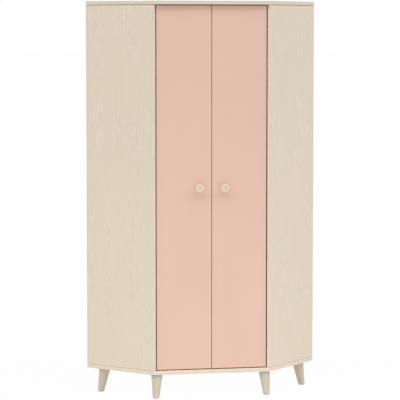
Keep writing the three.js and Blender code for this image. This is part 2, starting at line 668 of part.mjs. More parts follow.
function addDoors() {
  const door = doorGeometry();
  const knob = knobGeometry();
  const screw = knobScrewGeometry();
  const cup = hingeCupGeometry();
  const arm = hingeArmGeometry();
  const plate = hingePlateGeometry();
  for (const { side, sign } of SIDES) {
    const turned = (geometry) => (sign > 0 ? mirroredGeometry(geometry) : geometry.clone());
    const group = new THREE.Group();
    group.position.set(sign * OUTER_EDGE, DOOR_RECESS, LEG_ROOM + BOARD + DOOR_END_GAP);
    wardrobe.add(group);
    addPiece(`${side}_door`, turned(door), MATERIALS.blushFront, group);
    addPiece(`${side}_knob`, turned(knob), MATERIALS.paleWood, group);
    addPiece(`${side}_knob_screw`, turned(screw), MATERIALS.zincSteel, group);
    hingeHeights().forEach((z, i) => {
      addPiece(`${side}_hinge_cup_${i + 1}`, turned(cup), MATERIALS.nickel, group).position.z = z;
      addPiece(`${side}_hinge_arm_${i + 1}`, turned(arm), MATERIALS.nickel, group).position.z = z;
      addPiece(`${side}_hinge_plate_${i + 1}`, turned(plate), MATERIALS.nickel, group).position.z = z;
    });
  }
}

const stripFront = addCarcass();
addShelf(stripFront);
addRail();
addLegs();
addDoors();

// The origin lies on the floor, half way between the knobs and the rear corner
const KNOB_PROUD = KNOB_PROJECTION + SEAT_GAP - DOOR_RECESS;
wardrobe.position.y = (KNOB_PROUD - PLAN_DEPTH) / 2;

export default wardrobe;
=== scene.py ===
import functools
import json
import math

import bmesh
import bpy
from bpy.props import FloatProperty, FloatVectorProperty, IntProperty, PointerProperty
from mathutils import Euler, Matrix, Vector


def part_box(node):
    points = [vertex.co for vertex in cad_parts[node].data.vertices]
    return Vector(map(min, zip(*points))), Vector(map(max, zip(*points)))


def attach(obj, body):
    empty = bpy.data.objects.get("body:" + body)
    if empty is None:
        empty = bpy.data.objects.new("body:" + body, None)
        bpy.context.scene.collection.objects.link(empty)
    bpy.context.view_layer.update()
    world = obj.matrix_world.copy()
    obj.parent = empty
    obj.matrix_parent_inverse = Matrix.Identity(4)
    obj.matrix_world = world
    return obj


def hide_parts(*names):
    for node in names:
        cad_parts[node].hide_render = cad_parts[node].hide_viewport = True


bl_info = {
    "name": "Corner Wardrobe",
    "version": (1, 0, 0),
    "blender": (4, 5, 0),
    "location": "View3D > Sidebar > Wardrobe",
    "description": "Dresses the frame of a five-sided corner wardrobe with finished pieces and a studio",
    "category": "Add Mesh",
}

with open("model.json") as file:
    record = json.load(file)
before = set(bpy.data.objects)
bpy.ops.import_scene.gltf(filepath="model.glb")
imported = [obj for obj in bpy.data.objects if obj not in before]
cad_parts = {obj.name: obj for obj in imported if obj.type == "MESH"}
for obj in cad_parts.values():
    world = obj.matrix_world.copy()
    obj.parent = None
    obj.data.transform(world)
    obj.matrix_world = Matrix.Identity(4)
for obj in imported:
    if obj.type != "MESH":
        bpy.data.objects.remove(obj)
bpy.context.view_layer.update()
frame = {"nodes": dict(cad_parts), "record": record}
BODY_OF = {
    node: body
    for body, nodes in frame["record"]["behaviour"]["bodies"].items()
    for node in nodes
}

# The sides and the walls of the plan lie at 45 degrees to its front
SLANT = math.sqrt(0.5)
SIDES = (("left", -1), ("right", 1))
HINGES = range(1, 5)
LEGS = ("front_left", "front_right", "rear_left", "rear_right", "rear_corner")

# Sizes and places on the frame's pieces that its boxes don't give, in metres
SEAT_GAP = 0.0003
CUP_FLANGE_THICKNESS = 0.0012
CUP_SCREW_SPACING = 0.048
PLATE_THICKNESS = 0.0024
PLATE_RIDGE = 0.008
PLATE_SCREW_SPACING = 0.032
ARM_THICKNESS = 0.0025
ARM_SLOT_SHIFT = 0.00075
RAIL_WALL = 0.0015
RAIL_CHAMFER = RAIL_WALL / 4
BRACKET_WALL = 0.003
BRACKET_SCREW_SPACING = 0.042
BATTEN_THICKNESS = 0.018
BACK_THICKNESS = 0.005
SIDE_PANEL_THICKNESS = 0.019
LEG_TOP_RADIUS = 0.0285
LEG_FOOT_RADIUS = 0.017

# The way from a batten's middle to its outer screws, as a share of its length or of the corner strip's width
BATTEN_SCREW_SHARE = 1 / 3
STRIP_SCREW_SHARE = 1 / 4

# The turned knob's profile: radius and height as shares of its radius and depth
KNOB_PROFILE_SHARES = (
    (0, 0),
    (0.5, 0),
    (0.52, 0.06),
    (0.44, 0.2),
    (0.42, 0.34),
    (0.52, 0.48),
    (0.76, 0.6),
    (0.94, 0.7),
    (1, 0.81),
    (0.975, 0.92),
    (0.88, 0.99),
    (0.8, 1),
    (0.72, 0.984),
    (0.6, 0.975),
    (0.4, 0.962),
    (0, 0.955),
)
KNOB_FACE_RADIUS_SHARE = 0.6
KNOB_FACE_HEIGHT_SHARE = 0.85
KNOB_STEPS = 32
KNOB_SUBDIVISIONS = 2

# The nail head's profile, and the screw head with its cross recess, as shares of the head's radius
NAIL_PROFILE_SHARES = ((0, 0), (1, 0), (0.9, 0.15), (0.5, 0.25), (0, 0.28))
NAIL_STEPS = 16
SCREW_HEIGHT_SHARE = 0.22
SCREW_TOP_SHARE = 0.82
CROSS_REACH_SHARE = 0.56
CROSS_HALF_WIDTH_SHARE = 0.13
CROSS_DEPTH_SHARE = 0.5
SCREW_STEPS = 24

# The range that holds most values of a noise, and the shares of a ground colour that give its other tone
NOISE_LOW = 0.3
NOISE_HIGH = 0.7
PLATING_SHADE_SHARE = 0.86
FELT_PALE_SHARE = 1.35

# Studio places and sizes, in metres
FLOOR_HALF_SIZE = 200
KEY_STEPS = (-2, -1, 0, 1, 2)
REFLECTOR_SIZE = (4, 0.3)
REFLECTOR_PLACE = (0, -1.8, 0.15)

# Working values for joining, choosing and smoothing faces
MERGE_DISTANCE = 0.00001
FLAT_ANGLE = math.radians(1)
SHARP_ANGLE = math.radians(40)
SMOOTH_ANGLE = math.radians(50)
SAME_WAY = 0.9
OUTLINE_TOLERANCE = 0.00002
FULL_TURN = 2 * math.pi


def linear(code):
    """The linear colour of an sRGB hex value such as "d9ccb6"."""
    shares = [int(code[i : i + 2], 16) / 255 for i in (0, 2, 4)]
    return tuple(s / 12.92 if s <= 0.04045 else ((s + 0.055) / 1.055) ** 2.4 for s in shares)


def colour_property(name, code, description):
    """A colour that a user can change, with its default as an sRGB hex value."""
    return FloatVectorProperty(
        name=name, description=description, default=linear(code), size=3, min=0, max=1, subtype="COLOR"
    )


def angle_property(name, degrees, description):
    """An angle that a user can change, with its default in degrees."""
    return FloatProperty(name=name, description=description, default=math.radians(degrees), unit="ROTATION")


def share_property(name, share, description):
    """A share from 0 to 1 that a user can change."""
    return FloatProperty(name=name, description=description, default=share, min=0, max=1, subtype="FACTOR")


def length_property(name, metres, description):
    """A length that a user can change, in metres."""
    return FloatProperty(
        name=name, description=description, default=metres, min=0, precision=5, unit="LENGTH"
    )


class WardrobeSizes(bpy.types.PropertyGroup):
    """Sizes of what is finished after the boards are cut: rounded edges, screws and nails."""

    board_rounding: length_property("Board rounding", 0.0007, "Radius of the boards' banded edges")
    top_joint: length_property("Top joint", 0.002, "Opening of the joint lines under the top board")
    foot_joint: length_property("Foot joint", 0.0006, "Opening of the joint lines over the bottom board")
    door_rounding: length_property("Door rounding", 0.0012, "Radius of the doors' edges")
    back_rounding: length_property("Back rounding", 0.0003, "Radius of the thin backs' edges")
    batten_rounding: length_property("Batten rounding", 0.0015, "Radius of the planed battens' edges")
    leg_rounding: length_property("Leg rounding", 0.0005, "Radius at the leg's top and foot")
    metal_rounding: length_property("Metal rounding", 0.00025, "Radius of the pressed steel edges")
    bracket_rounding: length_property("Bracket rounding", 0.0005, "Radius of the rail brackets' edges")
    glide_rounding: length_property("Glide rounding", 0.0004, "Radius of the felt glides' edges")
    screw_radius: length_property("Screw head radius", 0.0036, "Head radius of the fixing screws")
    knob_screw_radius: length_property("Knob screw head radius", 0.0046, "Head radius of the knob screws")
    nail_radius: length_property("Nail head radius", 0.0024, "Head radius of the nails in the backs")
    nail_spacing: length_property("Nail spacing", 0.12, "Distance between the nails in the backs")
    turning_steps: IntProperty(
        name="Turning steps", description="Faces round each turned piece", default=64, min=12, max=256
    )


class GrainSizes(bpy.types.PropertyGroup):
    """Sizes of the marks in each surface."""

    streak_width: length_property("Streak width", 0.009, "Width of the decor's soft streaks")
    streak_length: length_property("Streak length", 0.22, "Length of the decor's soft streaks")
    dash_width: length_property("Dash width", 0.0044, "Width of the decor's paler dashes")
    dash_length: length_property("Dash length", 0.05, "Length of the decor's paler dashes")
    pore_width: length_property("Pore width", 0.0006, "Width of the decor's fine pores")
    pore_length: length_property("Pore length", 0.014, "Length of the decor's fine pores")
    patch_width: length_property("Patch width", 0.075, "Width of the patches that the dashes gather in")
    cloud: length_property("Clouding", 0.3, "Size of the slow changes of tone")
    foil_ripple: length_property("Foil ripple", 0.004, "Size of the faint ripple in the door foil")
    board_fibre: length_property("Board fibre", 0.003, "Length of the fibres in hardboard")
    board_cloud: length_property("Board cloud", 0.1, "Size of the changes of tone in hardboard")
    felt_fibre: length_property("Felt fibre", 0.0015, "Length of the fibres in felt")
    fleck_width: length_property("Fleck width", 0.0016, "Width of the flecks in turned beech")
    fleck_length: length_property("Fleck length", 0.012, "Length of the flecks in turned beech")
    tone_width: length_property("Tone width", 0.008, "Width of the changes of tone in turned beech")
    tone_length: length_property("Tone length", 0.072, "Length of the changes of tone in turned beech")
    growth_ring: length_property("Growth ring", 0.004, "Width of the growth lines in planed spruce")
    growth_length: length_property("Growth length", 0.3, "Length of the growth lines in planed spruce")
    planing_mark: length_property("Planing mark", 0.001, "Width of the fine marks left by planing")
    planing_length: length_property("Planing length", 0.05, "Length of the fine marks left by planing")
    polish_mark: length_property("Polish mark", 0.0012, "Width of the fine marks left on plated steel")
    polish_length: length_property("Polish length", 0.02, "Length of the fine marks on plated steel")


class WardrobeColours(bpy.types.PropertyGroup):
    """Colours of the finishes."""

    decor: colour_property("Decor", "e3d6c2", "Ground colour of the pale ash decor")
    decor_shade: colour_property("Decor shade", "dccfba", "Darker streaks of the decor")
    decor_dash: colour_property("Decor dash", "e8dccb", "Paler dashes of the decor")
    edging: colour_property("Edging", "e8d8c7", "Ground colour of the edge banding")
    top_edging: colour_property("Top edging", "ddcfbc", "Ground colour of the banding round the top board")
    dark_dash: colour_property("Dark dash", "d9ccb8", "Darker dashes beside the paler ones")
    blush: colour_property("Blush", "e6c1af", "Door foil")
    blush_shade: colour_property("Blush shade", "e4beab", "Slow darker clouds of the door foil")
    hardboard: colour_property("Hardboard", "a98a64", "Raw outer face of the backs")
    hardboard_fibre: colour_property("Hardboard fibre", "8d6f4c", "Darker fibres of the raw hardboard")
    spruce: colour_property("Spruce", "dcc6a2", "Early wood of the battens")
    spruce_line: colour_property("Spruce line", "cba97c", "Late wood lines of the battens")
    beech: colour_property("Beech", "d1c6b3", "Ground colour of the turned legs")
    beech_fleck: colour_property("Beech fleck", "c3b7a3", "Flecks of the turned legs")
    knob: colour_property("Knob", "e3d5c1", "Ground colour of the turned knobs")
    knob_fleck: colour_property("Knob fleck", "dccdb7", "Flecks of the turned knobs")
    # The knobs' faces are drawn darker than the rest of the knob, as painted shade of their hollow
    knob_end: colour_property("Knob end grain", "dacfba", "Ground colour of the knobs' faces")
    knob_end_fleck: colour_property("Knob end grain fleck", "cdc1a9", "Flecks of the knobs' faces")
    nickel: colour_property("Nickel", "bdbab3", "Plating of the hinges")
    chrome: colour_property("Chrome", "c9cacb", "Satin chrome of the hanging rail")
    zinc: colour_property("Zinc", "adb0b1", "Plating of brackets, discs and screws")
    felt: colour_property("Felt", "c4b9a7", "Pressed felt of the glides")


class StudioSettings(bpy.types.PropertyGroup):
    """Camera and light of the studio."""

    camera_azimuth: angle_property("Camera azimuth", 10.87, "Way round from the front")
    camera_tilt: angle_property("Camera tilt", 4.753, "Way down from level")
    camera_distance: length_property("Camera distance", 10.102, "Level way from the front's middle")
    camera_height: length_property("Camera height", 1.8416, "Height above the floor")
    camera_offset: length_property("Camera offset", 0.0617, "Way from the view's middle to the front's")
    lens: FloatProperty(
        name="Lens", description="Focal length on a 36 mm sensor", default=181.31, unit="CAMERA"
    )
    sky: FloatProperty(name="Sky", description="Strength of the even light from all sides", default=0.5)
    key_strength: FloatProperty(
        name="Key strength", description="Strength of the whole row of key lamps", default=2.7
    )
    key_height: angle_property("Key height", 66, "Way of the key lamps above level")
    key_spread: angle_property("Key spread", 24, "Way from one key lamp to the next")
    key_softness: angle_property("Key softness", 24, "Angle that each key lamp fills")
    reflector_power: FloatProperty(
        name="Reflector", description="Power of the low reflector in front", default=4.3, unit="POWER"
    )
    floor_colour: colour_property("Floor", "a6a5a3", "The floor's colour in the light that it throws back")
    floor_light: share_property("Floor light", 0.6, "Share of the light that the floor sends up by itself")
    floor_glow: share_property("Floor glow", 0.98, "Share of its own white that the floor shows")


# Nodes and patterns


def add_node(tree, kind, inputs=None, **settings):
    """Adds a node with its settings. An input is a value, or the socket that feeds it."""
    node = tree.nodes.new(kind)
    for name, value in settings.items():
        setattr(node, name, value)
    for name, value in (inputs or {}).items():
        socket = node.inputs[name]
        if isinstance(value, bpy.types.NodeSocket):
            tree.links.new(value, socket)
        else:
            socket.default_value = value
    return node


def surface_settings():
    """The scene's grain sizes and colours."""
    return bpy.context.scene.grain_sizes, bpy.context.scene.wardrobe_colours


def opaque(colour):
    """A colour with full cover, as the sockets take it."""
    return (*colour, 1)


def new_material(name):
    """A material and its empty node tree."""
    material = bpy.data.materials.new(name)
    material.use_nodes = True
    material.node_tree.nodes.clear()
    return material, material.node_tree


def marks(tree, width, length=0, run=(0, 0, 0), turn=0, detail=2, distortion=0):
    """A noise from 0 to 1 of marks with a width, and a length on the axes where run is 1, turned about Z."""
    turning = {"Vector": add_node(tree, "ShaderNodeTexCoord").outputs["Object"], "Angle": turn}
    turned = add_node(tree, "ShaderNodeVectorRotate", turning, rotation_type="Z_AXIS")
    scale = [1 / (length if way else width) for way in run]
    mapped = add_node(tree, "ShaderNodeMapping", {"Vector": turned.outputs[0], "Scale": scale})
    noise = {"Vector": mapped.outputs[0], "Scale": 1, "Detail": detail, "Distortion": distortion}
    return add_node(tree, "ShaderNodeTexNoise", noise).outputs[0]


def layered(tree, ground, *layers):
    """A ground colour under layers of marks.

    Each layer is a pattern, its values where the marks begin and where they are full, their cover and
    their colour.
    """
    colour = opaque(ground)
    for pattern, begin, full, cover, tint in layers:
        ends = {"Value": pattern, "From Min": begin, "From Max": full, "To Max": cover}
        share = add_node(tree, "ShaderNodeMapRange", ends).outputs["Result"]
        inputs = {"Factor": share, 6: colour, 7: opaque(tint)}
        colour = add_node(tree, "ShaderNodeMix", inputs, data_type="RGBA").outputs[2]
    return colour


def finish_surface(tree, surface, gloss=None, relief=None):
    """Adds the shader. The surface holds its colour and plain values, by the names of their sockets.

    The gloss is a pattern with its least and its most roughness. The relief is a pattern with the way
    in metres that it rises where it is 1, and its strength.
    """
    if gloss:
        pattern, least, most = gloss
        ends = {"From Min": NOISE_LOW, "From Max": NOISE_HIGH, "To Min": least, "To Max": most}
        roughness = add_node(tree, "ShaderNodeMapRange", {"Value": pattern, **ends})
        surface["Roughness"] = roughness.outputs["Result"]
    if relief:
        pattern, rise, strength = relief
        inputs = {"Height": pattern, "Distance": rise, "Strength": strength}
        surface["Normal"] = add_node(tree, "ShaderNodeBump", inputs).outputs["Normal"]
    shader = add_node(tree, "ShaderNodeBsdfPrincipled", surface)
    add_node(tree, "ShaderNodeOutputMaterial", {"Surface": shader.outputs["BSDF"]})


# Materials


@functools.cache
def ash_decor(name, run, ground_name):
    """Melamine-faced chipboard with a printed ash decor, pressed against a lightly textured plate.

    It gives the eye an even satin surface with soft streaks, paler and darker dashes in patches, and
    fine darker pores, all along the grain. The dashes are drawn several times and the pores about twice
    as wide as real ones, which would be too fine to show.
    """
    sizes, colours = surface_settings()
    ground = getattr(colours, ground_name)
    material, tree = new_material(name)
    streaks = marks(tree, sizes.streak_width, sizes.streak_length, run, detail=3)
    dashes = marks(tree, sizes.dash_width, sizes.dash_length, run, distortion=0.2)
    pores = marks(tree, sizes.pore_width, sizes.pore_length, run)
    clouds = marks(tree, sizes.cloud)
    patches = marks(tree, sizes.patch_width, sizes.cloud, run, detail=1)
    patch_ends = {"Value": patches, "From Min": 0.46, "From Max": 0.6}
    patch = add_node(tree, "ShaderNodeMapRange", patch_ends).outputs["Result"]
    pale_ends = {"Value": dashes, "From Min": 0.54, "From Max": 0.66, "To Max": patch}
    pale_dashes = add_node(tree, "ShaderNodeMapRange", pale_ends).outputs["Result"]
    colour = layered(
        tree,
        ground,
        (streaks, 0.44, 0.68, 0.4, colours.decor_shade),
        (clouds, 0.4, 0.7, 0.35, ground),
        (pores, 0.52, 0.7, 0.9, colours.dark_dash),
        (dashes, 0.46, 0.34, patch, colours.dark_dash),
        (pale_dashes, 0, 1, 1, colours.decor_dash),
    )
    surface = {"Base Color": colour, "IOR": 1.5}
    finish_surface(tree, surface, (streaks, 0.48, 0.58), (pale_dashes, 0.00006, 0.6))
    return material


def upright_decor():
    """The decor with its grain upright, as on the sides and inside the backs."""
    return ash_decor("printed_ash_decor_upright", (0, 0, 1), "decor")


def level_decor():
    """The decor with its grain along the front, as on the level boards."""
    return ash_decor("printed_ash_decor_level", (1, 0, 0), "decor")


def upright_banding():
    """ABS edge banding with the same print, on the sides: a little paler than the faces."""
    return ash_decor("abs_edge_banding_upright", (0, 0, 1), "edging")


def level_banding():
    """ABS edge banding whose grain runs round the bottom board and the hat shelf."""
    return ash_decor("abs_edge_banding_level", (1, 1, 0), "edging")


def top_banding():
    """ABS edge banding round the top board, a shade darker than on the other boards."""
    return ash_decor("abs_edge_banding_top", (1, 1, 0), "top_edging")


@functools.cache
def door_foil():
    """MDF wrapped in a satin blush foil, pressed on under heat.

    It gives the eye one plain soft pink, with hardly visible clouds and a faint ripple in the gloss.
    """
    sizes, colours = surface_settings()
    material, tree = new_material("satin_blush_foil")
    clouds = marks(tree, sizes.cloud, detail=3)
    ripple = marks(tree, sizes.foil_ripple)
    colour = layered(tree, colours.blush, (clouds, 0.35, 0.7, 1, colours.blush_shade))
    surface = {"Base Color": colour, "IOR": 1.48}
    finish_surface(tree, surface, (ripple, 0.4, 0.48), (ripple, 0.00003, 0.5))
    return material


@functools.cache
def raw_hardboard():
    """Hardboard, hot-pressed wood fibre left raw on the outer face of the backs.

    It gives the eye a warm matt brown with tangled fibres, drawn coarser than real so that they show.
    """
    sizes, colours = surface_settings()
    material, tree = new_material("raw_hardboard")
    fibres = marks(tree, sizes.board_fibre, detail=4, distortion=1.5)
    clouds = marks(tree, sizes.board_cloud, detail=3)
    colour = layered(
        tree,
        colours.hardboard,
        (fibres, 0.4, 0.68, 0.8, colours.hardboard_fibre),
        (clouds, 0.35, 0.7, 0.3, colours.hardboard_fibre),
    )
    surface = {"Base Color": colour, "IOR": 1.45}
    finish_surface(tree, surface, (fibres, 0.7, 0.85), (fibres, 0.0001, 0.6))
    return material


@functools.cache
def planed_spruce(name, run, turn=0):
    """Spruce battens, planed and left bare.

    It gives the eye pale yellow wood with warm growth lines along its length, and a dry matt face.
    """
    sizes, colours = surface_settings()
    material, tree = new_material(name)
    lines = marks(tree, sizes.growth_ring, sizes.growth_length, run, turn, distortion=0.3)
    planing = marks(tree, sizes.planing_mark, sizes.planing_length, run, turn, detail=3)
    colour = layered(tree, colours.spruce, (lines, 0.46, 0.6, 1, colours.spruce_line))
    surface = {"Base Color": colour, "IOR": 1.45}
    finish_surface(tree, surface, (planing, 0.62, 0.76), (planing, 0.00008, 0.6))
    return material


@functools.cache
def turned_beech(name, run, ground_name, fleck_name):
    """Beech, turned on a lathe, washed pale and matt lacquered.

    It gives the eye a smooth greyed wood with short darker flecks along the grain. The flecks are
    drawn about twice as wide as real ones, so that they show.
    """
    sizes, colours = surface_settings()
    fleck = getattr(colours, fleck_name)
    material, tree = new_material(name)
    flecks = marks(tree, sizes.fleck_width, sizes.fleck_length, run)
    tone = marks(tree, sizes.tone_width, sizes.tone_length, run, detail=3)
    toned, flecked = (tone, 0.4, 0.66, 0.7, fleck), (flecks, 0.55, 0.66, 0.8, fleck)
    surface = {"Base Color": layered(tree, getattr(colours, ground_name), toned, flecked), "IOR": 1.5}
    finish_surface(tree, surface, (tone, 0.42, 0.54), (flecks, 0.00005, 0.5))
    return material


def leg_beech():
    """The legs' beech, with its grain upright."""
    return turned_beech("turned_beech_legs", (0, 0, 1), "beech", "beech_fleck")


def knob_beech():
    """The knobs' beech, washed paler than the legs, with its grain out from the door."""
    return turned_beech("turned_beech_knobs", (0, 1, 0), "knob", "knob_fleck")


def knob_face_painted_shade():
    """The knob's dished face, which is end grain, drawn a shade darker than the rest of the knob as painted
    shade of its hollow.
    """
    return turned_beech("turned_beech_end_grain", (0, 1, 0), "knob_end", "knob_end_fleck")


@functools.cache
def plated_steel(name, colour_name, least_roughness, most_roughness, run):
    """Pressed or drawn steel with a thin plated coat.

    It gives the eye a cool metal whose gloss changes along fine marks, drawn coarser than real.
    """
    sizes, colours = surface_settings()
    plating = getattr(colours, colour_name)
    material, tree = new_material(name)
    fine = marks(tree, sizes.polish_mark, sizes.polish_length, run, detail=3)
    broad = marks(tree, sizes.polish_length)
    shade = [share * PLATING_SHADE_SHARE for share in plating]
    surface = {"Base Color": layered(tree, plating, (broad, 0.35, 0.65, 1, shade)), "Metallic": 1}
    finish_surface(tree, surface, (fine, least_roughness, most_roughness))
    return material


def hinge_nickel():
    """Nickel plating over pressed steel: warm grey and fairly bright, as on concealed hinges."""
    return plated_steel("nickel_plated_steel", "nickel", 0.24, 0.36, (0, 0, 1))


def rail_chrome():
    """Satin chrome over a drawn steel tube: bright, with faint drawing marks along the tube."""
    return plated_steel("satin_chromed_tube", "chrome", 0.16, 0.26, (1, 0, 0))


def zinc_coat():
    """Bright zinc over pressed steel: bluish grey and duller, as on brackets and screws."""
    return plated_steel("zinc_plated_steel", "zinc", 0.34, 0.5, (1, 1, 0))


@functools.cache
def pressed_felt():
    """Wool felt, pressed and glued under the feet.

    It gives the eye a soft dull grey-brown with tangled fibres and a faint pale sheen at its rim.
    """
    sizes, colours = surface_settings()
    material, tree = new_material("pressed_wool_felt")
    fibres = marks(tree, sizes.felt_fibre, detail=4, distortion=2)
    pale = [min(1, share * FELT_PALE_SHARE) for share in colours.felt]
    colour = layered(tree, colours.felt, (fibres, 0.35, 0.65, 1, pale))
    surface = {"Base Color": colour, "IOR": 1.45, "Roughness": 0.95, "Sheen Weight": 0.3}
    finish_surface(tree, surface, relief=(fibres, 0.0003, 0.8))
    return material


# Mesh tools


def box_middle(node):
    """The middle of a frame node's box."""
    low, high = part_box(node)
    return (low + high) / 2


def merged_copy(node):
    """A copy of a frame node with its loose triangles joined and its flat faces made whole."""
    bm = bmesh.new()
    bm.from_mesh(frame["nodes"][node].data)
    bmesh.ops.remove_doubles(bm, verts=bm.verts, dist=MERGE_DISTANCE)
    bmesh.ops.dissolve_limit(bm, angle_limit=FLAT_ANGLE, verts=bm.verts, edges=bm.edges)
    return bm


def round_edges(bm, radius, segments=3, chosen=None):
    """Rounds the sharp outer edges, or only the chosen ones."""
    sharp = [
        edge
        for edge in (bm.edges if chosen is None else chosen)
        if edge.is_manifold and edge.calc_face_angle_signed() > SHARP_ANGLE
    ]
    bmesh.ops.bevel(
        bm,
        geom=sharp,
        offset=radius,
        offset_type="OFFSET",
        affect="EDGES",
        segments=segments,
        profile=0.5,
        material=-1,
        clamp_overlap=True,
    )


def spun(profile, steps, closed=False):
    """A solid of revolution about Z from its profile, given as pairs of radius and height."""
    bm = bmesh.new()
    points = [bm.verts.new((radius, 0, height)) for radius, height in profile]
    pairs = list(zip(points, points[1:]))
    if closed:
        pairs.append((points[-1], points[0]))
    edges = [bm.edges.new(pair) for pair in pairs]
    bmesh.ops.spin(
        bm, geom=points + edges, cent=(0, 0, 0), axis=(0, 0, 1), angle=FULL_TURN, steps=steps, use_merge=True
    )
    bmesh.ops.remove_doubles(bm, verts=bm.verts, dist=MERGE_DISTANCE)
    bmesh.ops.recalc_face_normals(bm, faces=bm.faces)
    return bm


def facing(place, out):
    """The matrix that brings a shape made along Z to a place, facing out."""
    return Matrix.Translation(place) @ Vector(out).to_track_quat("Z", "Y").to_matrix().to_4x4()


def repeated(shape, places):
    """One bmesh with a copy of the shape at each place. The shape is used up."""
    template = bpy.data.meshes.new("template")
    shape.to_mesh(template)
    shape.free()
    bm = bmesh.new()
    for matrix in places:
        first = len(bm.verts)
        bm.from_mesh(template)
        bm.verts.ensure_lookup_table()
        bmesh.ops.transform(bm, matrix=matrix, verts=bm.verts[first:])
    bpy.data.meshes.remove(template)
    return bm


def add_piece(name, bm, materials, body=None, stands_for=(), even_shading=True):
    """Makes a finished piece of a bmesh, which rides on a body and may stand for frame nodes."""
    mesh = bpy.data.meshes.new(name)
    bm.to_mesh(mesh)
    bm.free()
    mesh.shade_smooth()
    mesh.set_sharp_from_angle(angle=SMOOTH_ANGLE)
    for material in materials:
        mesh.materials.append(material)
    piece = bpy.data.objects.new(name, mesh)
    bpy.context.scene.collection.objects.link(piece)
    if even_shading:
        # Keeps the shading of large flat faces even right up to their rounded edges
        piece.modifiers.new("even_shading", "WEIGHTED_NORMAL").keep_sharp = True
    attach(piece, body or BODY_OF[stands_for[0]])
    if stands_for:
        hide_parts(*stands_for)
    return piece


def add_eased(node, material, radius, segments=2):
    """A finished copy of a frame node, in one material and with its sharp edges rounded."""
    bm = merged_copy(node)
    round_edges(bm, radius, segments)
    add_piece(f"finished_{node}", bm, [material], stands_for=[node])


# Carcass


def add_board(node, decor, banding, radius, joints=()):
    """A board with decor on its two large faces and banding on its rounded edges."""
    bm = merged_copy(node)
    across = max(bm.faces, key=lambda face: face.calc_area()).normal.copy()
    for level, shift in joints:
        open_joint(bm, node, level, shift)
    round_edges(bm, radius)
    for face in bm.faces:
        face.material_index = 0 if abs(face.normal.dot(across)) > SAME_WAY else 1
    add_piece(f"finished_{node}", bm, [decor, banding], stands_for=[node])


def open_joint(bm, node, level, shift):
    """Shifts the outer corners of a side's end along Z, which leaves a fine dark line at its joint."""
    middle = box_middle(node)
    outward = Vector((math.copysign(SLANT, middle.x), -SLANT, 0))
    end = [vert for vert in bm.verts if abs(vert.co.z - level) < OUTLINE_TOLERANCE]
    outer = [vert for vert in end if (vert.co - middle).dot(outward) > 0]
    bmesh.ops.translate(bm, vec=(0, 0, shift), verts=outer)


class WARDROBE_OT_boards(bpy.types.Operator):
    """Add the top and bottom boards, the two sides and the hat shelf"""

    bl_idname = "wardrobe.boards"
    bl_label = "Boards"

    def execute(self, context):
        sizes = context.scene.wardrobe_sizes
        radius = sizes.board_rounding
        add_board("top_board", level_decor(), top_banding(), radius)
        for node in ("bottom_board", "hat_shelf"):
            add_board(node, level_decor(), level_banding(), radius)
        for side, _ in SIDES:
            node = f"{side}_side_panel"
            low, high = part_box(node)
            joints = ((high.z, -sizes.top_joint), (low.z, sizes.foot_joint))
            add_board(node, upright_decor(), upright_banding(), radius, joints)
        return {"FINISHED"}


class WARDROBE_OT_backs(bpy.types.Operator):
    """Add the thin backs, raw outside and printed inside, and the nails that hold them"""

    bl_idname = "wardrobe.backs"
    bl_label = "Backs"

    def execute(self, context):
        sizes = context.scene.wardrobe_sizes
        for side, sign in SIDES:
            node = f"{side}_back_panel"
            out = Vector((sign * SLANT, SLANT, 0))
            bm = merged_copy(node)
            round_edges(bm, sizes.back_rounding, segments=2)
            for face in bm.faces:
                face.material_index = int(face.normal.dot(out) > SAME_WAY)
            materials = [upright_decor(), raw_hardboard()]
            add_piece(f"finished_{node}", bm, materials, stands_for=[node])
            self.add_nails(side, sign, out, sizes)
        return {"FINISHED"}

    def add_nails(self, side, sign, out, sizes):
        """Two rows of nails, into the end of the side panel and into the rear corner strip."""
        low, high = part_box(f"{side}_back_panel")
        width = (high.y - low.y) / SLANT - BACK_THICKNESS
        outer_corner = Vector(((high if sign > 0 else low).x, low.y + BACK_THICKNESS * SLANT, 0))
        towards_rear = Vector((-sign * SLANT, SLANT, 0))
        strip_low, strip_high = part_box("rear_corner_strip")
        rows = (SIDE_PANEL_THICKNESS / 2, width - (strip_high.y - strip_low.y) * SLANT)
        count = round((high.z - low.z) / sizes.nail_spacing)
        step = (high.z - low.z) / count
        radius = sizes.nail_radius
        head = spun([(r * radius, h * radius) for r, h in NAIL_PROFILE_SHARES], NAIL_STEPS)
        places = [
            facing(outer_corner + towards_rear * row + Vector((0, 0, low.z + (i + 0.5) * step)), out)
            for row in rows
            for i in range(count)
        ]
        nails = repeated(head, places)
        add_piece(f"{side}_back_nails", nails, [zinc_coat()], "carcass", even_shading=False)


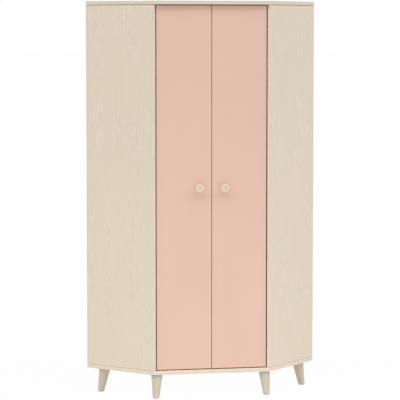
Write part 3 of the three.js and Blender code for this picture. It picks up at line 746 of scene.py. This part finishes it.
class WARDROBE_OT_battens(bpy.types.Operator):
    """Add the shelf battens and the rear corner strip, with the screws through the battens"""

    bl_idname = "wardrobe.battens"
    bl_label = "Battens"

    def execute(self, context):
        sizes = context.scene.wardrobe_sizes
        upright = planed_spruce("planed_spruce_upright", (0, 0, 1))
        across = planed_spruce("planed_spruce_across", (1, 0, 0))
        add_eased("rear_corner_strip", upright, sizes.batten_rounding, segments=3)
        add_eased("rear_shelf_batten", across, sizes.batten_rounding, segments=3)
        middle = box_middle("rear_shelf_batten")
        strip_low, strip_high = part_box("rear_corner_strip")
        face = Vector((0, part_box("rear_shelf_batten")[0].y, middle.z))
        reach = (strip_high.x - strip_low.x) * STRIP_SCREW_SHARE
        places = [facing(face + Vector((way * reach, 0, 0)), (0, -1, 0)) for way in (-1, 1)]
        for side, sign in SIDES:
            node = f"{side}_shelf_batten"
            spruce = planed_spruce(f"planed_spruce_{side}", (1, 0, 0), -sign * math.pi / 4)
            add_eased(node, spruce, sizes.batten_rounding, segments=3)
            low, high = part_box(node)
            length = (high.x - low.x) / SLANT - BATTEN_THICKNESS
            inward = Vector((-sign * SLANT, SLANT, 0))
            along = Vector((sign * SLANT, SLANT, 0))
            seat = box_middle(node) + inward * BATTEN_THICKNESS / 2
            reach = along * length * BATTEN_SCREW_SHARE
            places += [facing(seat + way * reach, inward) for way in (-1, 0, 1)]
        add_screws("batten_screws", sizes.screw_radius, places, "carcass")
        return {"FINISHED"}


def screw_head(radius):
    """A low screw head with a cross recess, made about its middle and facing Z."""
    height = radius * SCREW_HEIGHT_SHARE
    arm = radius * CROSS_REACH_SHARE
    half_width = radius * CROSS_HALF_WIDTH_SHARE
    bm = bmesh.new()
    rings = []
    for ring_radius, level in ((radius, -height), (radius, 0), (radius * SCREW_TOP_SHARE, height)):
        place = Matrix.Translation((0, 0, level))
        made = bmesh.ops.create_circle(bm, segments=SCREW_STEPS, radius=ring_radius, matrix=place)
        rings.append(list(dict.fromkeys(edge for vert in made["verts"] for edge in vert.link_edges)))
    corners = [
        Matrix.Rotation(quarter * math.pi / 2, 3, "Z") @ Vector((x, y, height))
        for quarter in range(4)
        for x, y in ((arm, -half_width), (arm, half_width), (half_width, half_width))
    ]
    verts = [bm.verts.new(corner) for corner in corners]
    cross = [bm.edges.new((a, b)) for a, b in zip(verts, verts[1:] + verts[:1])]
    bmesh.ops.contextual_create(bm, geom=rings[0])
    bmesh.ops.bridge_loops(bm, edges=rings[0] + rings[1])
    bmesh.ops.bridge_loops(bm, edges=rings[1] + rings[2])
    bmesh.ops.bridge_loops(bm, edges=rings[2] + cross)
    sunk = bmesh.ops.extrude_edge_only(bm, edges=cross)["geom"]
    bottom = [item for item in sunk if isinstance(item, bmesh.types.BMVert)]
    bmesh.ops.translate(bm, vec=(0, 0, -radius * CROSS_DEPTH_SHARE), verts=bottom)
    edges = [item for item in sunk if isinstance(item, bmesh.types.BMEdge)]
    bmesh.ops.contextual_create(bm, geom=[edge for edge in edges if edge.is_boundary])
    bmesh.ops.recalc_face_normals(bm, faces=bm.faces)
    return bm


def add_screws(name, radius, places, body, stands_for=()):
    """Zinc plated screw heads, one at each place, as one piece."""
    screws = repeated(screw_head(radius), places)
    add_piece(name, screws, [zinc_coat()], body, stands_for, even_shading=False)


# Hanging rail


class WARDROBE_OT_rail(bpy.types.Operator):
    """Add the hanging rail, its two brackets and their screws"""

    bl_idname = "wardrobe.rail"
    bl_label = "Hanging rail"

    def execute(self, context):
        sizes = context.scene.wardrobe_sizes
        low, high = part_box("hanging_rail")
        radius, middle = (high.z - low.z) / 2, box_middle("hanging_rail")
        bore = radius - RAIL_WALL
        profile = [
            (bore, low.x + RAIL_CHAMFER),
            (bore + RAIL_CHAMFER, low.x),
            (radius - RAIL_CHAMFER, low.x),
            (radius, low.x + RAIL_CHAMFER),
            (radius, high.x - RAIL_CHAMFER),
            (radius - RAIL_CHAMFER, high.x),
            (bore + RAIL_CHAMFER, high.x),
            (bore, high.x - RAIL_CHAMFER),
        ]
        tube = spun(profile, sizes.turning_steps, closed=True)
        bmesh.ops.transform(tube, matrix=facing((0, middle.y, middle.z), (1, 0, 0)), verts=tube.verts)
        add_piece("finished_hanging_rail", tube, [rail_chrome()], stands_for=["hanging_rail"])
        places = []
        for side, _ in SIDES:
            node = f"{side}_rail_bracket"
            add_eased(node, zinc_coat(), sizes.bracket_rounding)
            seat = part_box(node)[1].z - BRACKET_WALL - sizes.metal_rounding
            foot = Vector((box_middle(node).x, middle.y, seat))
            reach = Vector((0, BRACKET_SCREW_SPACING / 2, 0))
            places += [facing(foot + way * reach, (0, 0, -1)) for way in (-1, 1)]
        add_screws("rail_bracket_screws", sizes.screw_radius, places, "carcass")
        return {"FINISHED"}


# Legs


class WARDROBE_OT_legs(bpy.types.Operator):
    """Add the five splayed legs with their mounting discs and felt glides"""

    bl_idname = "wardrobe.legs"
    bl_label = "Legs"

    def execute(self, context):
        sizes = context.scene.wardrobe_sizes
        for leg in LEGS:
            self.add_leg(leg, sizes)
            add_eased(f"{leg}_leg_disc", zinc_coat(), sizes.metal_rounding)
            self.add_glide(f"{leg}_glide", sizes)
        return {"FINISHED"}

    def add_leg(self, leg, sizes):
        """A taper spun upright, then leant over from its disc to its glide."""
        top_middle, foot_middle = box_middle(f"{leg}_leg_disc"), box_middle(f"{leg}_glide")
        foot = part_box(f"{leg}_leg")[0].z
        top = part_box(f"{leg}_leg_disc")[0].z - SEAT_GAP
        lean = (foot_middle - top_middle).xy / (top - foot)
        profile = [(0, foot), (LEG_FOOT_RADIUS, foot), (LEG_TOP_RADIUS, top), (0, top)]
        bm = spun(profile, sizes.turning_steps)
        round_edges(bm, sizes.leg_rounding)
        shear = Matrix.Identity(4)
        for i in range(2):
            shear[i][2] = -lean[i]
            shear[i][3] = top_middle[i] + lean[i] * top
        bmesh.ops.transform(bm, matrix=shear, verts=bm.verts)
        add_piece(f"finished_{leg}_leg", bm, [leg_beech()], stands_for=[f"{leg}_leg"])

    def add_glide(self, node, sizes):
        """A round felt pad under a foot."""
        low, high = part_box(node)
        middle = box_middle(node)
        radius = (high.x - low.x) / 2
        bm = spun([(0, low.z), (radius, low.z), (radius, high.z), (0, high.z)], sizes.turning_steps)
        round_edges(bm, sizes.glide_rounding)
        bmesh.ops.translate(bm, vec=(middle.x, middle.y, 0), verts=bm.verts)
        add_piece(f"finished_{node}", bm, [pressed_felt()], stands_for=[node])


# Doors


def on_outline(edge, low, high):
    """Whether an edge lies along one of the twelve edges of a box."""
    middle = (edge.verts[0].co + edge.verts[1].co) / 2
    near = [min(abs(middle[i] - low[i]), abs(middle[i] - high[i])) < OUTLINE_TOLERANCE for i in range(3)]
    return sum(near) > 1


class WARDROBE_OT_doors(bpy.types.Operator):
    """Add the two foil-wrapped doors, bored for their hinge cups"""

    bl_idname = "wardrobe.doors"
    bl_label = "Doors"

    def execute(self, context):
        for side, _ in SIDES:
            node = f"{side}_door"
            low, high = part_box(node)
            bm = merged_copy(node)
            outline = [edge for edge in bm.edges if on_outline(edge, low, high)]
            round_edges(bm, context.scene.wardrobe_sizes.door_rounding, chosen=outline)
            add_piece(f"finished_{node}", bm, [door_foil()], stands_for=[node])
        return {"FINISHED"}


class WARDROBE_OT_knobs(bpy.types.Operator):
    """Add the two turned knobs and the screws that hold them from inside"""

    bl_idname = "wardrobe.knobs"
    bl_label = "Knobs"

    def execute(self, context):
        sizes = context.scene.wardrobe_sizes
        for side, _ in SIDES:
            node = f"{side}_knob"
            low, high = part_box(node)
            middle = box_middle(node)
            radius, depth = (high.z - low.z) / 2, high.y - low.y
            profile = [(r * radius, h * depth) for r, h in KNOB_PROFILE_SHARES]
            bm = spun(profile, KNOB_STEPS)
            # The faces inside the rim at the front take the second material, drawn darker as painted shade
            # of the hollow face
            for face in bm.faces:
                place = face.calc_center_median()
                inside_rim = place.xy.length < radius * KNOB_FACE_RADIUS_SHARE
                face.material_index = int(inside_rim and place.z > depth * KNOB_FACE_HEIGHT_SHARE)
            bmesh.ops.transform(bm, matrix=facing((middle.x, high.y, middle.z), (0, -1, 0)), verts=bm.verts)
            materials = [knob_beech(), knob_face_painted_shade()]
            name = f"finished_{node}"
            knob = add_piece(name, bm, materials, stands_for=[node], even_shading=False)
            turning = knob.modifiers.new("smooth_turning", "SUBSURF")
            turning.levels = turning.render_levels = KNOB_SUBDIVISIONS
            self.add_screw(side, middle, sizes.knob_screw_radius)
        return {"FINISHED"}

    def add_screw(self, side, middle, radius):
        """The head of the knob's screw, which stands on the inner face of the door."""
        node = f"{side}_knob_screw"
        inner_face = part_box(f"{side}_door")[1].y
        seat = Vector((middle.x, inner_face + radius * SCREW_HEIGHT_SHARE, middle.z))
        add_screws(f"finished_{node}", radius, [facing(seat, (0, 1, 0))], BODY_OF[node], [node])


# Hinges


class WARDROBE_OT_hinges(bpy.types.Operator):
    """Add the cups, arms and mounting plates of the eight concealed hinges, with their screws"""

    bl_idname = "wardrobe.hinges"
    bl_label = "Hinges"

    def execute(self, context):
        sizes = context.scene.wardrobe_sizes
        for side, sign in SIDES:
            for i in HINGES:
                for part in ("cup", "arm", "plate"):
                    node = f"{side}_hinge_{part}_{i}"
                    add_eased(node, hinge_nickel(), sizes.metal_rounding)
            self.add_hinge_screws(side, sign, sizes)
        return {"FINISHED"}

    def add_hinge_screws(self, side, sign, sizes):
        """Two screws in each cup's flange and each plate, and one through each arm into its plate."""
        inward = Vector((-sign * SLANT, SLANT, 0))
        along = Vector((sign * SLANT, SLANT, 0))
        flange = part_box(f"{side}_door")[1].y + SEAT_GAP + CUP_FLANGE_THICKNESS
        plate_face = SEAT_GAP + PLATE_THICKNESS
        plate_top = plate_face + PLATE_RIDGE
        arm_face = plate_top + SEAT_GAP + ARM_THICKNESS
        plate_middle = (SEAT_GAP + plate_top) / 2
        on_door, on_carcass = [], []
        for i in HINGES:
            cup = box_middle(f"{side}_hinge_cup_{i}")
            plate = box_middle(f"{side}_hinge_plate_{i}")
            for way in (-1, 1):
                place = Vector((cup.x, flange, cup.z + way * CUP_SCREW_SPACING / 2))
                on_door.append(facing(place, (0, 1, 0)))
                rise = Vector((0, 0, way * PLATE_SCREW_SPACING / 2))
                on_carcass.append(facing(plate + inward * (plate_face - plate_middle) + rise, inward))
            clamp = plate + inward * (arm_face - plate_middle) + along * ARM_SLOT_SHIFT
            on_carcass.append(facing(clamp, inward))
        add_screws(f"{side}_cup_screws", sizes.screw_radius, on_door, f"{side}_leaf")
        add_screws(f"{side}_plate_screws", sizes.screw_radius, on_carcass, "carcass")


# Studio


class WARDROBE_OT_studio(bpy.types.Operator):
    """Add the pale floor, the soft light and the camera"""

    bl_idname = "wardrobe.studio"
    bl_label = "Studio"

    def execute(self, context):
        studio = context.scene.studio_settings
        context.scene.view_settings.view_transform = "Standard"
        self.add_floor(studio)
        self.add_sky(context.scene, studio)
        self.add_key_lights(studio)
        self.add_reflector(studio)
        self.add_camera(context.scene, studio)
        return {"FINISHED"}

    def plain_rays(self, tree):
        """1 for rays that show the studio itself, seen directly, in metal or through glass."""
        rays = add_node(tree, "ShaderNodeLightPath").outputs
        inputs = {0: rays["Is Camera Ray"], 1: rays["Is Glossy Ray"]}
        seen = add_node(tree, "ShaderNodeMath", inputs, operation="MAXIMUM").outputs[0]
        inputs = {0: seen, 1: rays["Is Transmission Ray"]}
        return add_node(tree, "ShaderNodeMath", inputs, operation="MAXIMUM").outputs[0]

    def add_floor(self, studio):
        """A matt pale floor, which shows as white with a soft shadow and sends up some light by itself."""
        bm = bmesh.new()
        bmesh.ops.create_grid(bm, x_segments=1, y_segments=1, size=FLOOR_HALF_SIZE)
        mesh = bpy.data.meshes.new("studio_floor")
        bm.to_mesh(mesh)
        bm.free()
        floor = bpy.data.objects.new("studio_floor", mesh)
        bpy.context.scene.collection.objects.link(floor)
        material, tree = new_material("matt_white_paper")
        paper = add_node(tree, "ShaderNodeBsdfDiffuse", {"Color": opaque(studio.floor_colour)})
        white = add_node(tree, "ShaderNodeEmission", {"Color": (1, 1, 1, 1), "Strength": 1})
        share = {0: self.plain_rays(tree), 1: studio.floor_glow}
        shown = add_node(tree, "ShaderNodeMath", share, operation="MULTIPLY").outputs[0]
        least = {0: shown, 1: studio.floor_light}
        glow = add_node(tree, "ShaderNodeMath", least, operation="MAXIMUM").outputs[0]
        mixed = add_node(tree, "ShaderNodeMixShader", {0: glow, 1: paper.outputs[0], 2: white.outputs[0]})
        add_node(tree, "ShaderNodeOutputMaterial", {"Surface": mixed.outputs[0]})
        mesh.materials.append(material)

    def add_sky(self, scene, studio):
        """White where it is seen, and an even soft light from all sides otherwise."""
        world = bpy.data.worlds.new("studio_sky")
        scene.world = world
        world.use_nodes = True
        tree = world.node_tree
        tree.nodes.clear()
        light = add_node(tree, "ShaderNodeBackground", {"Color": (1, 1, 1, 1), "Strength": studio.sky})
        white = add_node(tree, "ShaderNodeBackground", {"Color": (1, 1, 1, 1), "Strength": 1})
        ways = {0: self.plain_rays(tree), 1: light.outputs[0], 2: white.outputs[0]}
        mixed = add_node(tree, "ShaderNodeMixShader", ways)
        add_node(tree, "ShaderNodeOutputWorld", {"Surface": mixed.outputs[0]})

    def add_key_lights(self, studio):
        """A row of large soft lamps high in front and far away, so that they light top and bottom alike."""
        for step in KEY_STEPS:
            lamp = bpy.data.lights.new("overhead_key", "SUN")
            lamp.energy = studio.key_strength / len(KEY_STEPS)
            lamp.angle = studio.key_softness
            place = bpy.data.objects.new("overhead_key", lamp)
            bpy.context.scene.collection.objects.link(place)
            place.rotation_mode = "YXZ"
            place.rotation_euler = (math.pi / 2 - studio.key_height, step * studio.key_spread, 0)

    def add_reflector(self, studio):
        """A wide low panel in front, which lifts the lower half of the doors a little."""
        lamp = bpy.data.lights.new("low_reflector", "AREA")
        lamp.shape = "RECTANGLE"
        lamp.size, lamp.size_y = REFLECTOR_SIZE
        lamp.energy = studio.reflector_power
        place = bpy.data.objects.new("low_reflector", lamp)
        bpy.context.scene.collection.objects.link(place)
        place.location = REFLECTOR_PLACE
        place.rotation_euler = (math.pi / 2, 0, 0)
        place.visible_camera = place.visible_glossy = False

    def add_camera(self, scene, studio):
        """A long lens, a little left of the middle of the front and looking slightly down."""
        camera = bpy.data.cameras.new("camera")
        camera.lens = studio.lens
        place = bpy.data.objects.new("camera", camera)
        scene.collection.objects.link(place)
        turn = Euler((0, 0, -studio.camera_azimuth))
        back = Vector((studio.camera_offset, studio.camera_distance, 0))
        back.rotate(turn)
        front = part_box("top_board")[0].y
        place.location = (-back.x, front - back.y, studio.camera_height)
        place.rotation_euler = (math.pi / 2 - studio.camera_tilt, 0, -studio.camera_azimuth)
        scene.camera = place


class VIEW3D_PT_corner_wardrobe(bpy.types.Panel):
    """Sidebar panel with the sizes, the colours and a button for each group of pieces"""

    bl_label = "Corner Wardrobe"
    bl_space_type = "VIEW_3D"
    bl_region_type = "UI"
    bl_category = "Wardrobe"

    def draw(self, context):
        for operator in OPERATORS:
            self.layout.operator(operator.bl_idname)
        for settings in GROUPS:
            box = self.layout.box()
            group = getattr(context.scene, settings)
            for name in group.__annotations__:
                box.prop(group, name)


GROUPS = {
    "wardrobe_sizes": WardrobeSizes,
    "grain_sizes": GrainSizes,
    "wardrobe_colours": WardrobeColours,
    "studio_settings": StudioSettings,
}
OPERATORS = (
    WARDROBE_OT_boards,
    WARDROBE_OT_backs,
    WARDROBE_OT_battens,
    WARDROBE_OT_rail,
    WARDROBE_OT_legs,
    WARDROBE_OT_doors,
    WARDROBE_OT_knobs,
    WARDROBE_OT_hinges,
    WARDROBE_OT_studio,
)
CLASSES = (*GROUPS.values(), *OPERATORS, VIEW3D_PT_corner_wardrobe)


def register():
    """Registers the classes, and gives the scene its groups of settings."""
    for item in CLASSES:
        bpy.utils.register_class(item)
    for name, group in GROUPS.items():
        setattr(bpy.types.Scene, name, PointerProperty(type=group))


def unregister():
    """Takes back what register did, in the other order."""
    for name in GROUPS:
        delattr(bpy.types.Scene, name)
    for item in reversed(CLASSES):
        bpy.utils.unregister_class(item)


def main():
    """Builds the wardrobe and its studio."""
    register()
    bpy.ops.wardrobe.boards()
    bpy.ops.wardrobe.backs()
    bpy.ops.wardrobe.battens()
    bpy.ops.wardrobe.rail()
    bpy.ops.wardrobe.legs()
    bpy.ops.wardrobe.doors()
    bpy.ops.wardrobe.knobs()
    bpy.ops.wardrobe.hinges()
    bpy.ops.wardrobe.studio()


if __name__ == "__main__":
    main()
